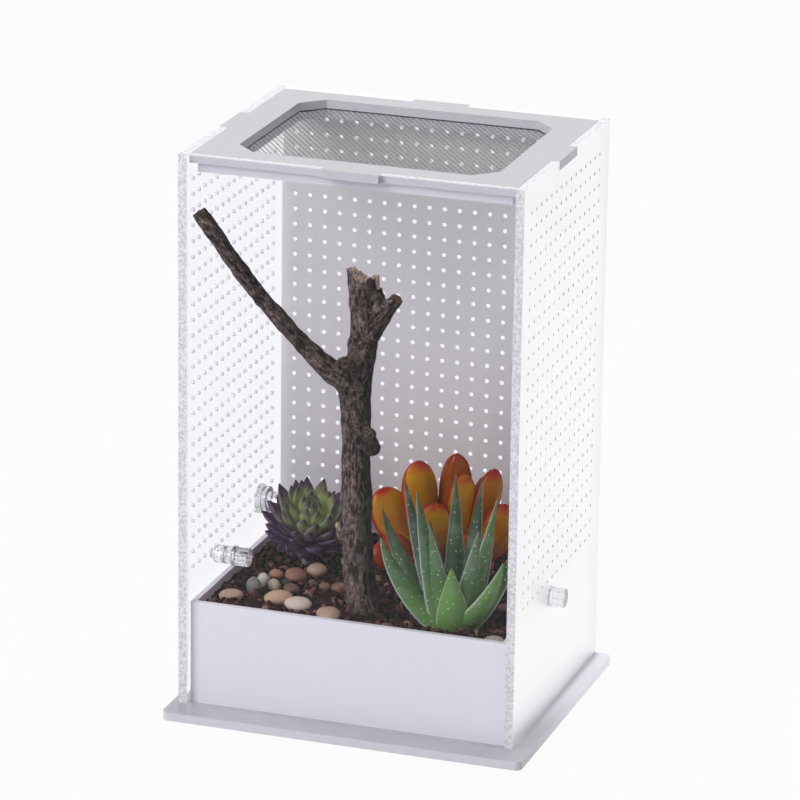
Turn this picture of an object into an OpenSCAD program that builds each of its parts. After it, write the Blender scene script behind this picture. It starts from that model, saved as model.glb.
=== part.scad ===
// Clear-walled pet keeper with a planted tray, a lift-off mesh lid and clear plastic fittings.
// Origin: middle of the four walls, on the underside of the base. +X right, -Y front, +Z up.

/* [Enclosure] */
// Outside width over the two side walls
body_w = 200; // [150:5:260]
// Outside depth over the front panel and the back wall
body_d = 160; // [130:5:220]
// Height of the walls above the base plate
wall_h = 324; // [290:2:420]
// Thickness of the wall sheets
sheet_t = 5; // [3:0.5:8]

/* [Base] */
// Thickness of the base plate
base_t = 5; // [3:0.5:10]
// Ledge of the base plate left of the walls
base_left = 4; // [2:1:20]
// Ledge of the base plate right of the walls
base_right = 10; // [2:1:20]
// Ledge of the base plate in front of the walls
base_front = 17; // [6:1:40]
// Corner radius of the base plate
base_corner_r = 4; // [1:0.5:12]

/* [Ventilation] */
// Diameter of each air hole
vent_d = 2.4; // [1:0.1:4]
// Distance between neighbouring air holes
vent_pitch = 9.15; // [6:0.05:15]
// Height of the lowest row above the base plate
vent_low = 79.3; // [70:0.1:120]
// Plain strip between the top row and the wall's top
vent_top_margin = 14; // [12:1:40]
// Plain strip in front of the first column on a side wall
vent_front_margin = 13.6; // [7:0.1:30]
// Least plain strip behind the last column on a side wall
vent_rear_margin = 15; // [7:1:30]
// Least plain strip beside the outer columns on the back wall
vent_back_margin = 6; // [4:1:30]

/* [Lid] */
// Thickness of the lid's top plate
lid_t = 5; // [3:0.5:8]
// Gap all round between the lid and the walls
lid_gap = 0.3; // [0.2:0.1:1]
// Width of the tab in the middle of each side of the lid
tab_w = 33; // [15:1:60]
// Width of the lid's eight-sided window
window_w = 152; // [90:1:160]
// Depth of the lid's eight-sided window
window_d = 121; // [80:1:124]
// Length cut off each corner of the window
window_cut = 12.5; // [4:0.5:25]
// Thickness of the woven mesh
mesh_t = 0.8; // [0.4:0.1:2]
// Thickness of the frame that holds the mesh up
retainer_t = 5; // [3:0.5:8]
// Step from the plate's edge in to the retainer's edge
retainer_inset = 3.7; // [1:0.1:6]

/* [Tray] */
// Height of the planting tray
tray_h = 61; // [40:1:70]
// Thickness of the tray's sheets
tray_t = 3; // [2:0.5:5]
// Gap between the tray and a side wall
tray_side_gap = 1; // [0.5:0.1:4]
// Gap between the tray and the front panel or the back wall
tray_end_gap = 0.5; // [0.3:0.1:4]
// Distance from the tray's rim down to the substrate
fill_drop = 5; // [2:1:20]

/* [Thumb screws] */
// Diameter of the screw's shank
shank_d = 6; // [4:0.5:8]
// Clearance all round between a shank and its hole
shank_fit = 0.05; // [0.02:0.01:0.1]
// Diameter of the knurled knob
knob_d = 11; // [9:0.5:16]
// Length of the knurled knob
knob_l = 7.8; // [4:0.1:15]
// Diameter of the flange under the knob
flange_d = 12; // [10:0.5:18]
// Thickness of the flange
flange_t = 1.5; // [1:0.1:4]
// Number of grooves round the knob
grooves = 12; // [6:1:24]
// Radius of each groove
groove_r = 0.7; // [0.4:0.1:1]
// Diameter of the round nuts and of the spacer
nut_d = 10.5; // [9:0.5:16]
// Thickness of the nut outside the left wall
left_nut_t = 4; // [2:0.5:8]
// Thickness of the nut inside the right wall
right_nut_t = 5; // [2:0.5:8]
// Thickness of the spacer under the left screw
spacer_t = 5; // [2:0.5:10]
// Distance that a nut can back off along its shank
nut_travel = 3; // [1:0.5:6]
// Gap between the screw's flange and the tray's rim
rim_gap = 2; // [0.5:0.5:6]
// Distance of the screws in front of the middle
screw_ahead = 16; // [0:1:40]
// Gap left between a flange or nut and the face it meets
seat_gap = 0.15; // [0.1:0.05:0.5]

/* [Feeding port] */
// Distance of the port in front of the wall's rear edge
port_from_rear = 32; // [20:1:60]
// Height of the port above the base plate
port_up = 82; // [76:1:130]
// Diameter of the plug's body
plug_d = 10; // [6:0.5:14]
// Clearance all round between the plug and its hole
plug_fit = 0.05; // [0.02:0.01:0.1]
// Diameter of the plug's outer flange
plug_flange_d = 18; // [15:0.5:24]
// Thickness of the plug's outer flange
plug_flange_t = 1.5; // [1:0.1:3]
// Diameter of the collar inside the wall
collar_d = 15.4; // [13:0.2:22]
// Thickness of the collar
collar_t = 3; // [2:0.5:5]
// Length of the plug that shows beyond the collar
plug_nose = 3.5; // [1:0.5:8]

/* [Planting] */
// Radius of the buried foot of each plant and of the branch
root_r = 4; // [2:0.5:6]
// Length of each buried foot
root_l = 12; // [5:1:25]
// Clearance all round a buried foot
root_gap = 0.1; // [0.05:0.05:0.5]
// Radius of the clump that the orange and the aloe leaves grow from
clump_r = 6; // [4:0.5:9]
// Height of that clump
clump_h = 8; // [4:0.5:12]
// Radius of the branch where it meets the substrate
trunk_r = 10; // [6:0.5:14]
// Width of an aloe leaf
aloe_leaf_w = 12; // [6:0.5:16]
// Thickness of an aloe leaf
aloe_leaf_t = 4; // [2:0.5:6]
// Width of an orange leaf
paddle_w = 22; // [12:1:28]
// Thickness of an orange leaf
paddle_t = 5; // [3:0.5:8]
// Width of a purple leaf
spike_w = 8.5; // [4:0.5:12]
// Thickness of a purple leaf
spike_t = 3; // [1.5:0.5:5]
// Length of a purple leaf
spike_l = 27; // [12:1:28]
// Radius of the heart that the purple leaves grow from
heart_r = 9; // [6:0.5:12]
// Height of that heart above the substrate
heart_up = 14; // [9:1:30]

/* [Hidden] */
$fn = 48;
// How far a cutter runs past the face it opens
over = 1;

// Places worked out from the sizes above
inner_w = body_w - 2 * sheet_t;
inner_d = body_d - 2 * sheet_t;
top_z = base_t + wall_h;
rim_z = base_t + tray_h;
soil_z = rim_z - fill_drop;
tray_w = inner_w - 2 * tray_side_gap;
tray_d = inner_d - 2 * tray_end_gap;
notch_d = lid_t + seat_gap;
lid_z = top_z - lid_t;
lid_w = inner_w - 2 * lid_gap;
lid_d = inner_d - 2 * lid_gap;
retainer_w = lid_w - 2 * retainer_inset;
retainer_d = lid_d - 2 * retainer_inset;
screw_y = -screw_ahead;
screw_z = rim_z + rim_gap + flange_d / 2;
port_y = body_d / 2 - port_from_rear;
port_z = base_t + port_up;
shank_bore_r = shank_d / 2 + shank_fit;
plug_bore_r = plug_d / 2 + plug_fit;

// Round holes of the side walls: place in Y and Z, radius, radius kept free of air holes
screw_bore = [[screw_y, screw_z], shank_bore_r, flange_d / 2];
port_bore = [[port_y, port_z], plug_bore_r, plug_flange_d / 2];

// Number of holes that fit a strip, and the evenly spaced places along it
function fit_count(strip) = floor(strip / vent_pitch) + 1;
function spots(first, count) = [for (i = [0 : count - 1]) first + i * vent_pitch];

rows = fit_count(wall_h - vent_low - vent_top_margin - vent_d / 2);
row_z = spots(base_t + vent_low, rows);
side_count = fit_count(body_d - vent_front_margin - vent_rear_margin);
side_y = spots(vent_front_margin - body_d / 2, side_count);
back_count = fit_count(inner_w - 2 * vent_back_margin - vent_d);
back_x = spots(-(back_count - 1) * vent_pitch / 2, back_count);

// The planting is drawn for this room over the substrate, and follows the real room in all directions
drawn_room = [182, 143, 257.2];
room = [tray_w - 2 * tray_t, tray_d - 2 * tray_t, lid_z - mesh_t - retainer_t - soil_z];
function grown(p) = [for (i = [0 : 1 : len(p) - 1]) p[i] * room[i] / drawn_room[i]];
function above_soil(p) = [0, 0, soil_z] + grown([p[0], p[1], p[2]]);

// Feet of the branch and of each plant, as drawn and in the real room
branch_foot = [1, -45];
aloe_foot = [56, -50];
orange_foot = [22, 24];
purple_foot = [-62, 28];
branch_at = grown(branch_foot);
aloe_at = grown(aloe_foot);
orange_at = grown(orange_foot);
purple_at = grown(purple_foot);

// Centre line of each limb: x, y, height above the substrate, radius
trunk = [
    [1, -45, 0, trunk_r], [-2.5, -45, 18, 8.9], [-5.4, -45, 66, 8.7], [-6, -45, 112, 8.8], [-8, -45.5, 142, 9.4]
];
left_limb = [[-8, -45.5, 142, 8], [-37, -52, 157, 5.4], [-64, -60.5, 190, 4.6], [-88.5, -68.5, 232.5, 4.4]];
right_limb = [[-6, -45, 140, 8.4], [-2, -45, 168, 7.6], [-3.4, -45, 199, 8.6]];
stub_limb = [[-1, -45, 168, 5.6], [16.5, -45, 188.5, 4.2]];
knot_at = [4, -47, 102];
knot_r = 5;
bud_at = [-13.5, -48, 51];
bud_r = 3;
// Bulge of each bend over the limbs that meet in it
bend_swell = 1.05;

// Tips of the leaves: x, y, height above the substrate
aloe_tips = [
    [5, -30, 59], [14, -55, 50], [18, -30, 76], [34, -50, 79], [60, -65, 42], [50, -35, 84],
    [67, -40, 85], [78, -45, 76], [86, -58, 44], [45, -60, 62], [66, -14, 56], [86, -30, 52]
];
paddle_tips = [
    [9, 25, 68], [30, 31, 70], [53, 25, 67], [-11, 25, 49], [40, 42, 58], [62, 18, 50],
    [-14, 14, 17], [2, 48, 46], [30, 54, 34], [56, 46, 30], [-8, 42, 24]
];
// Rings of purple leaves: angle above level, number, turn
spike_rings = [[8, 8, 0], [38, 7, 20], [68, 4, 10]];
// Pointed leaf: its foot's width and its widest place as shares, and the width of its tip
blade_foot = 0.7;
blade_belly = 0.35;
blade_tip_w = 0.8;
// Round-ended leaf: width of its foot, and how far its sides spread over the round end's width
paddle_foot_w = 6;
paddle_spread = 0.98;

// Stones: x, y, radius, height
stones = [
    [-78, -52, 6.5, 5], [-69, -39, 5, 7], [-68.5, -25, 3.4, 5], [-60, -30, 4, 5], [-66, -10, 3.8, 4],
    [-54.5, -11, 5.5, 5], [-48, 3, 5, 5.5], [-51, -47, 6, 5.5], [-38, -51, 5.8, 5], [-32, 22, 5.5, 6],
    [-16, -60, 5.5, 4.5], [-25, -17, 4.5, 4], [83, -64, 4.5, 4], [20, -63, 4, 3]
];

// Sheet standing across X: a 2-D drawing in Y and Z becomes a plate from x to x + t
module across_x(x, t) {
    translate([x, 0, 0]) rotate([90, 0, 90]) linear_extrude(t) children();
}

// Sheet standing across Y: a 2-D drawing in X and Z becomes a plate from y to y + t
module across_y(y, t) {
    translate([0, y + t, 0]) rotate([90, 0, 0]) linear_extrude(t) children();
}

module wall_outline(w) {
    difference() {
        translate([-w / 2, base_t]) square([w, wall_h]);
        translate([-tab_w / 2 - lid_gap, top_z - notch_d]) square([tab_w + 2 * lid_gap, notch_d + over]);
    }
}

// Grid of air holes that leaves out the ones too near a bore
module vents(columns, bores = []) {
    for (u = columns, z = row_z)
        if (min([wall_h, for (bore = bores) norm([u, z] - bore[0]) - bore[2]]) > vent_d)
            translate([u, z]) circle(d = vent_d, $fn = 16);
}

module side_wall(x, bores) {
    across_x(x, sheet_t) difference() {
        wall_outline(body_d);
        vents(side_y, bores);
        for (bore = bores) translate(bore[0]) circle(bore[1]);
    }
}

module base_plate() {
    color([0.9, 0.92, 0.95, 0.8])
    linear_extrude(base_t)
    translate([-body_w / 2 - base_left, -body_d / 2 - base_front])
    rounded_square(body_w + base_left + base_right, body_d + base_front, base_corner_r);
}

module rounded_square(w, d, r) {
    translate([r, 0]) square([w - 2 * r, d]);
    translate([0, r]) square([w, d - 2 * r]);
    for (x = [r, w - r], y = [r, d - r]) translate([x, y]) circle(r);
}

module left_wall() {
    color([0.9, 0.95, 1, 0.3])
    side_wall(-body_w / 2, [screw_bore, port_bore]);
}

module right_wall() {
    color([0.9, 0.95, 1, 0.3])
    side_wall(body_w / 2 - sheet_t, [screw_bore]);
}

module back_wall() {
    color([0.92, 0.92, 0.94])
    across_y(body_d / 2 - sheet_t, sheet_t) difference() {
        wall_outline(inner_w);
        vents(back_x);
    }
}

module front_panel() {
    color([0.9, 0.95, 1, 0.25])
    across_y(-body_d / 2, sheet_t) wall_outline(inner_w);
}

module tray_floor() {
    color("white")
    translate([-tray_w / 2 + tray_t, -tray_d / 2 + tray_t, base_t])
    cube([tray_w - 2 * tray_t, tray_d - 2 * tray_t, tray_t]);
}

module tray_end(y) {
    color("white")
    translate([-tray_w / 2, y, base_t]) cube([tray_w, tray_t, tray_h]);
}

module tray_side(x) {
    color("white")
    translate([x, -tray_d / 2 + tray_t, base_t]) cube([tray_t, tray_d - 2 * tray_t, tray_h]);
}

module tray_front() {
    tray_end(-tray_d / 2);
}

module tray_back() {
    tray_end(tray_d / 2 - tray_t);
}

module tray_left_side() {
    tray_side(-tray_w / 2);
}

module tray_right_side() {
    tray_side(tray_w / 2 - tray_t);
}

module window() {
    w = window_w / 2;
    d = window_d / 2;
    c = window_cut;
    polygon([[-w + c, -d], [w - c, -d], [w, -d + c], [w, d - c], [w - c, d], [-w + c, d], [-w, d - c], [-w, -d + c]]);
}

module lid_plate() {
    color([0.85, 0.85, 0.88])
    translate([0, 0, lid_z]) linear_extrude(lid_t) difference() {
        union() {
            square([lid_w, lid_d], center = true);
            square([body_w, tab_w], center = true);
            square([tab_w, body_d], center = true);
        }
        window();
    }
}

module lid_mesh() {
    color([0.55, 0.55, 0.56])
    translate([0, 0, lid_z - mesh_t]) linear_extrude(mesh_t) square([retainer_w, retainer_d], center = true);
}

module lid_retainer() {
    color([0.85, 0.85, 0.88])
    translate([0, 0, lid_z - mesh_t - retainer_t]) linear_extrude(retainer_t) difference() {
        square([retainer_w, retainer_d], center = true);
        window();
    }
}

// Thumb screw along +Z: shank below z = 0, flange and grooved knob above it
module thumb_screw(shank_l) {
    translate([0, 0, -shank_l]) cylinder(h = shank_l + flange_t, d = shank_d);
    cylinder(h = flange_t, d = flange_d);
    translate([0, 0, flange_t]) linear_extrude(knob_l) difference() {
        circle(d = knob_d);
        for (i = [0 : grooves - 1]) rotate(i * 360 / grooves) translate([knob_d / 2, 0]) circle(groove_r, $fn = 16);
    }
}

// Round nut or spacer along +Z, from z = 0 up
module ring(outer_d, bore_r, h) {
    linear_extrude(h) difference() {
        circle(d = outer_d);
        circle(bore_r);
    }
}

// Puts a fitting on a side wall's face: its +Z points along side * X
module on_side(x, side, y, z) {
    translate([x, y, z]) rotate([0, side * 90, 0]) children();
}

module left_thumb_screw() {
    color([0.92, 0.95, 0.98, 0.5])
    on_side(-inner_w / 2 + spacer_t + seat_gap, 1, screw_y, screw_z)
    thumb_screw(seat_gap * 2 + spacer_t + sheet_t + left_nut_t + nut_travel);
}

module left_spacer() {
    color([0.92, 0.95, 0.98, 0.5])
    on_side(-inner_w / 2, 1, screw_y, screw_z) ring(nut_d, shank_bore_r, spacer_t);
}

module left_nut() {
    color([0.92, 0.95, 0.98, 0.5])
    on_side(-body_w / 2 - seat_gap, -1, screw_y, screw_z) ring(nut_d, shank_bore_r, left_nut_t);
}

module right_thumb_screw() {
    color([0.92, 0.95, 0.98, 0.5])
    on_side(body_w / 2 + seat_gap, 1, screw_y, screw_z)
    thumb_screw(seat_gap * 2 + sheet_t + right_nut_t + nut_travel);
}

module right_nut() {
    color([0.92, 0.95, 0.98, 0.5])
    on_side(inner_w / 2 - seat_gap, -1, screw_y, screw_z) ring(nut_d, shank_bore_r, right_nut_t);
}

module port_plug() {
    color([0.92, 0.95, 0.98, 0.5])
    on_side(-body_w / 2 - seat_gap, 1, port_y, port_z) {
        translate([0, 0, -plug_flange_t]) cylinder(h = plug_flange_t, d = plug_flange_d);
        translate([0, 0, -plug_flange_t])
        cylinder(h = plug_flange_t + seat_gap + sheet_t + collar_t + plug_nose, d = plug_d);
    }
}

module port_collar() {
    color([0.92, 0.95, 0.98, 0.5])
    on_side(-inner_w / 2, 1, port_y, port_z) ring(collar_d, plug_bore_r, collar_t);
}

module substrate() {
    color([0.22, 0.15, 0.12])
    difference() {
        translate([-tray_w / 2 + tray_t, -tray_d / 2 + tray_t, base_t + tray_t])
        cube([tray_w - 2 * tray_t, tray_d - 2 * tray_t, soil_z - base_t - tray_t]);
        for (at = [branch_at, aloe_at, orange_at, purple_at])
            translate([at[0], at[1], soil_z - root_l - root_gap])
            cylinder(h = root_l + root_gap + over, r = root_r + root_gap);
    }
}

// Buried foot of a plant, with everything else kept above the substrate
module planted(at) {
    translate([at[0], at[1], soil_z - root_l]) cylinder(h = root_l + over, r = root_r);
    intersection() {
        children();
        translate([-body_w / 2, -body_d / 2, soil_z]) cube([body_w, body_d, wall_h]);
    }
}

// Stone with a flat underside on the substrate
module pebble(r, h) {
    ball_r = (r * r + h * h) / (2 * h);
    intersection() {
        translate([0, 0, h - ball_r]) sphere(ball_r);
        translate([-ball_r, -ball_r, 0]) cube([2 * ball_r, 2 * ball_r, h + over]);
    }
}

module pebbles() {
    color([0.72, 0.62, 0.54])
    for (s = stones) translate(above_soil([s[0], s[1], 0])) pebble(s[2], s[3]);
}

// Turns +Z to point from one place to another, and moves there
module aim(from, to) {
    d = to - from;
    translate(from) rotate([0, acos(d[2] / norm(d)), atan2(d[1], d[0])]) children();
}

// Round limb through the points of a list, each with its own radius
module limb(path) {
    for (i = [0 : len(path) - 2]) {
        from = above_soil(path[i]);
        to = above_soil(path[i + 1]);
        aim(from, to) cylinder(h = norm(to - from), r1 = path[i][3], r2 = path[i + 1][3]);
    }
    for (i = [1 : 1 : len(path) - 2]) bend(path[i]);
}

module bend(p) {
    translate(above_soil(p)) sphere(p[3] * bend_swell);
}

module branch() {
    color([0.3, 0.24, 0.21])
    planted(branch_at) {
        limb(trunk);
        limb(left_limb);
        limb(right_limb);
        limb(stub_limb);
        bend(trunk[len(trunk) - 1]);
        translate(above_soil(knot_at)) sphere(knot_r);
        translate(above_soil(bud_at)) sphere(bud_r);
    }
}

// Flat pointed leaf, its foot at the origin, along +Z
module blade(l, w, t) {
    rotate([90, 0, 90]) translate([0, 0, -t / 2]) linear_extrude(t)
    polygon([
        [-w * blade_foot / 2, 0], [w * blade_foot / 2, 0], [w / 2, l * blade_belly],
        [blade_tip_w / 2, l], [-blade_tip_w / 2, l], [-w / 2, l * blade_belly]
    ]);
}

module succulent_purple() {
    heart = [purple_at[0], purple_at[1], soil_z + heart_up];
    color([0.38, 0.3, 0.42])
    planted(purple_at) {
        translate([purple_at[0], purple_at[1], soil_z]) cylinder(h = heart_up, r = root_r);
        translate(heart - [0, 0, heart_r / 2]) cylinder(h = heart_r, r1 = heart_r, r2 = heart_r / 2);
        for (ring = spike_rings, i = [0 : ring[1] - 1])
            translate(heart)
            rotate([0, 90 - ring[0], ring[2] + i * 360 / ring[1]])
            blade(spike_l, spike_w, spike_t);
    }
}

// Upright flat leaf with a round end, its foot at the origin, along +Z
module paddle(l) {
    head_r = paddle_w / 2;
    side = head_r * paddle_spread;
    foot = paddle_foot_w / 2;
    rotate([90, 0, 90]) translate([0, 0, -paddle_t / 2]) linear_extrude(paddle_t) {
        translate([0, l - head_r]) circle(head_r);
        polygon([[-foot, 0], [foot, 0], [side, l - head_r], [-side, l - head_r]]);
    }
}

module succulent_orange() {
    foot = [orange_at[0], orange_at[1], soil_z + clump_h / 2];
    color([0.85, 0.45, 0.1])
    planted(orange_at) {
        translate([orange_at[0], orange_at[1], soil_z]) cylinder(h = clump_h, r = clump_r);
        for (tip = paddle_tips) aim(foot, above_soil(tip)) paddle(norm(above_soil(tip) - foot));
    }
}

module aloe() {
    foot = [aloe_at[0], aloe_at[1], soil_z + clump_h / 4];
    color([0.35, 0.55, 0.38])
    planted(aloe_at) {
        translate([aloe_at[0], aloe_at[1], soil_z]) cylinder(h = clump_h, r = clump_r);
        for (tip = aloe_tips)
            aim(foot, above_soil(tip))
            blade(norm(above_soil(tip) - foot), aloe_leaf_w, aloe_leaf_t);
    }
}

base_plate();
left_wall();
right_wall();
back_wall();
front_panel();
tray_floor();
tray_front();
tray_back();
tray_left_side();
tray_right_side();
lid_plate();
lid_mesh();
lid_retainer();
left_thumb_screw();
left_spacer();
left_nut();
right_thumb_screw();
right_nut();
port_plug();
port_collar();
substrate();
pebbles();
branch();
succulent_purple();
succulent_orange();
aloe();
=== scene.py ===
import math
from functools import partial
import bmesh
import bpy
import numpy as np
from mathutils import Matrix, Vector


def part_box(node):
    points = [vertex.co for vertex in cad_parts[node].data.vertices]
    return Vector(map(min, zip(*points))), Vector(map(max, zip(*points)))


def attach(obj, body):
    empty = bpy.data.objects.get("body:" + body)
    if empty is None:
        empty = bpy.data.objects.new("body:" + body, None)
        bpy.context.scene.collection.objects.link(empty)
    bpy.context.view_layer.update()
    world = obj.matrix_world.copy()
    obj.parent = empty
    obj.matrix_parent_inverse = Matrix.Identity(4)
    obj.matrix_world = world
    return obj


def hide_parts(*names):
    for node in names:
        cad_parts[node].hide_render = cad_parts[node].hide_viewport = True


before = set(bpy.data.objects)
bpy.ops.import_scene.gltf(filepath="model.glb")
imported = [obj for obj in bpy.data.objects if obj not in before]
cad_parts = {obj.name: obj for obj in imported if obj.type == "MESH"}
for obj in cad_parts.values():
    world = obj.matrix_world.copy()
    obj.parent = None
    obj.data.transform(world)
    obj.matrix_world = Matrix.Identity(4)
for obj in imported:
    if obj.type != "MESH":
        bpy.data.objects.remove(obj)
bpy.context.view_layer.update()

mm = 0.001
scene = bpy.context.scene
scene.view_settings.view_transform = "Standard"

cameraLook = {
    "lens": 219.987,  # mm on the 36 mm sensor
    "sensor": 36,
    "distance": 2.776858,
    "target": (0.0037904, 0, 0.1743549),
    "yaw": 0.325937,  # radians to the right of the front
    "pitch": 0.320474,  # radians above level
    "roll": 0.0142415,
}


def cameraAxes(look):
    yaw, pitch, roll = look["yaw"], look["pitch"], look["roll"]
    back = Vector((math.sin(yaw) * math.cos(pitch), -math.cos(yaw) * math.cos(pitch), math.sin(pitch)))
    level = Vector((math.cos(yaw), math.sin(yaw), 0))
    upright = level.cross(-back)
    right = level * math.cos(roll) + upright * math.sin(roll)
    up = upright * math.cos(roll) - level * math.sin(roll)
    return right, up, back


def newObject(name, data):
    thing = bpy.data.objects.new(name, data)
    scene.collection.objects.link(thing)
    return thing


def makeCamera(look):
    right, up, back = cameraAxes(look)
    camera = newObject("camera", bpy.data.cameras.new("camera"))
    camera.data.lens = look["lens"]
    camera.data.sensor_width = look["sensor"]
    place = Matrix((right, up, back)).transposed().to_4x4()
    place.translation = Vector(look["target"]) + back * look["distance"]
    camera.matrix_world = place
    scene.camera = camera


makeCamera(cameraLook)
print("camera set")


def linear(code):  # sRGB hex to linear light
    parts = [int(code[i:i + 2], 16) / 255 for i in (1, 3, 5)]
    return tuple(p / 12.92 if p <= 0.04045 else ((p + 0.055) / 1.055) ** 2.4 for p in parts) + (1,)


def addNode(tree, kind, sockets=None, stops=None, **settings):
    # kind: what follows ShaderNode in the type's name
    # sockets: each input's value, or the node or output that feeds it, by name or in order
    # stops: a colour ramp's places and its hex colours
    node = tree.nodes.new("ShaderNode" + kind)
    for key, value in settings.items():  # settings first, because they can change the sockets
        setattr(node, key, value)
    if stops:
        places, codes = stops
        elements = node.color_ramp.elements
        for place in places[1:-1]:
            elements.new(place)
        elements[0].position, elements[-1].position = places[0], places[-1]
        for element, code in zip(elements, codes):
            element.color = linear(code)
    if isinstance(sockets, tuple):
        sockets = dict(enumerate(sockets))
    for key, value in (sockets or {}).items():
        if isinstance(value, bpy.types.Node):
            value = next(output for output in value.outputs if output.enabled)
        if isinstance(value, bpy.types.NodeSocket):
            tree.links.new(value, node.inputs[key])
        else:
            node.inputs[key].default_value = value
    return node


def makeMaterial(name, recipe, *values):  # a recipe adds a finish's nodes and gives back the last of them
    material = bpy.data.materials.new(name)
    material.use_nodes = True
    material.node_tree.nodes.clear()
    add = partial(addNode, material.node_tree)
    place = add("TexCoord").outputs["Object"]
    add("OutputMaterial", {"Surface": recipe(add, place, *values)})
    return material


def latticeValue(cell, seed):  # a fixed random number from -1 to 1 for each whole-number cell
    h = (cell[..., 0] * 374761393 + cell[..., 1] * 668265263 + cell[..., 2] * 2147483647
         + seed * 1274126177) & 0xFFFFFFFF
    h = ((h ^ (h >> 13)) * 1274126177) & 0xFFFFFFFF
    return (h ^ (h >> 16)) / 2 ** 31 - 1


def latticeNoise(points, size, seed):  # lattice numbers blended by smooth steps, from -1 to 1
    p = points / size
    cell = np.floor(p).astype(np.int64)
    f = p - cell
    f = f * f * (3 - 2 * f)
    total = np.zeros(p.shape[:-1])
    for corner in range(8):
        bits = np.array([corner & 1, (corner >> 1) & 1, (corner >> 2) & 1])
        total += np.prod(np.where(bits == 1, f, 1 - f), axis=-1) * latticeValue(cell + bits, seed)
    return total


def layered(points, size, octaves, seed):  # each layer has half the size and half the height of the last
    return sum(latticeNoise(points, size / 2 ** i, seed + i) / 2 ** i for i in range(octaves))


def unit(a):
    return a / np.maximum(np.linalg.norm(a, axis=-1, keepdims=True), 1e-12)


def ball(rows, cols):  # points at even angles on a ball of radius 1, and its two poles
    v = (np.arange(rows) + 1) / (rows + 1) * math.pi
    u = np.arange(cols) / cols * 2 * math.pi
    rings = np.stack([np.sin(v)[:, None] * np.cos(u), np.sin(v)[:, None] * np.sin(u),
                      np.cos(v)[:, None] * np.ones(cols)], axis=-1)
    return rings, np.array([[0, 0, 1.0], [0, 0, -1.0]])


def posed(points, scale, turn, shift):  # the points of each shell scaled, then turned, then moved
    spread = (len(scale),) + (1,) * (points.ndim - 2) + (3,)
    return np.einsum("nij,n...j->n...i", turn, points * scale.reshape(spread)) + shift.reshape(spread)


def shellMesh(rings, poles):
    # rings: shell, row, column, xyz. Quads join neighbouring rows, and triangles close each end on its pole
    count, rows, cols = rings.shape[:3]
    verts = np.concatenate([rings.reshape(count, -1, 3), poles], axis=1)
    ring = np.arange(rows * cols).reshape(rows, cols)
    ahead = np.roll(ring, -1, axis=1)
    quads = np.stack([ring[:-1], ahead[:-1], ahead[1:], ring[1:]], axis=-1).reshape(-1, 4)
    foot, tip = np.full(cols, rows * cols), np.full(cols, rows * cols + 1)
    tris = np.concatenate([np.stack([foot, ahead[0], ring[0]], -1), np.stack([tip, ring[-1], ahead[-1]], -1)])
    shift = (np.arange(count) * verts.shape[1])[:, None, None]
    return verts.reshape(-1, 3), (quads[None] + shift).reshape(-1, 4), (tris[None] + shift).reshape(-1, 3)


def shellMarks(values, footValue, tipValue):
    # gives each point of each shell its number, in the order of shellMesh, with both poles last
    count = values.shape[0]
    ends = np.stack([np.broadcast_to(footValue, count), np.broadcast_to(tipValue, count)], axis=1)
    return np.concatenate([values.reshape(count, -1), ends], axis=1).ravel()


attributeKinds = {1: ("FLOAT", "value"), 3: ("FLOAT_VECTOR", "vector"), 4: ("FLOAT_COLOR", "color")}


def setMarks(mesh, marks):  # one number, place or colour for each point of the mesh
    for key, values in marks.items():
        kind, field = attributeKinds[values.size // len(values)]
        mesh.attributes.new(key, kind, "POINT").data.foreach_set(field, values.astype(np.float32).ravel())


def makePiece(name, verts, faces, material, marks=None):
    # verts in millimetres; faces: lists of equal-sided arrays
    mesh = bpy.data.meshes.new(name)
    mesh.from_pydata((verts * mm).tolist(), [], [f for part in faces for f in part.tolist()])
    setMarks(mesh, marks or {})
    bm = bmesh.new()
    bm.from_mesh(mesh)
    bmesh.ops.recalc_face_normals(bm, faces=bm.faces)
    bm.to_mesh(mesh)
    bm.free()
    mesh.shade_smooth()
    mesh.materials.append(material)
    return newObject(name, mesh)


def boxOf(node):  # lowest and highest corner of a node, in millimetres
    low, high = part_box(node)
    return np.array(low) / mm, np.array(high) / mm


studio = {
    "worldLight": 0.24,
    "worldTint": "#FCF9FC",
    "floorColour": "#E9E9EE",
    "floorWhite": 0.93,  # share of plain white that the camera sees in the floor
    "floorCorners": [(-5, -5), (5, -5), (5, 7), (-5, 7)],
    "tableEdge": [(-1.6, -1.083), (0.9, -0.033)],
    "farSide": [(0.9, -4), (-1.6, -4)],  # from the table's front edge to here, the panels mirror a dim room
    "dimRoom": 0.22,
    "sweep": [(0.112, -0.12), (1.4, -0.12), (1.4, 2.2), (0.112, 2.2)],
    "sweepGlow": 1.0,  # what the right wall mirrors from the bright sweep beside it
    "lift": 0.001,  # keeps the mirrored planes just over the floor
    "lampsAimAt": (0, 0, 0.16),
    "lamps": [  # place, size, watts
        ((-1.45, -2.05, 1.55), 1.5, 45),
        ((1.5, -1.5, 1.9), 1.4, 3.5),
        ((0.2, 1.1, 2.4), 1.5, 27),
    ],
    "lookingRays": ("Camera", "Glossy", "Transmission"),  # these see the surroundings plain white
    "lightRays": ("Shadow", "Diffuse"),  # these pass straight through clear pieces
}


def rayIs(add, kinds):  # 1 for a ray of any of the kinds, 0 for every other ray
    path = add("LightPath")
    found = path.outputs["Is %s Ray" % kinds[0]]
    for kind in kinds[1:]:
        found = add("Math", (found, path.outputs["Is %s Ray" % kind]), operation="MAXIMUM")
    return found


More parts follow.
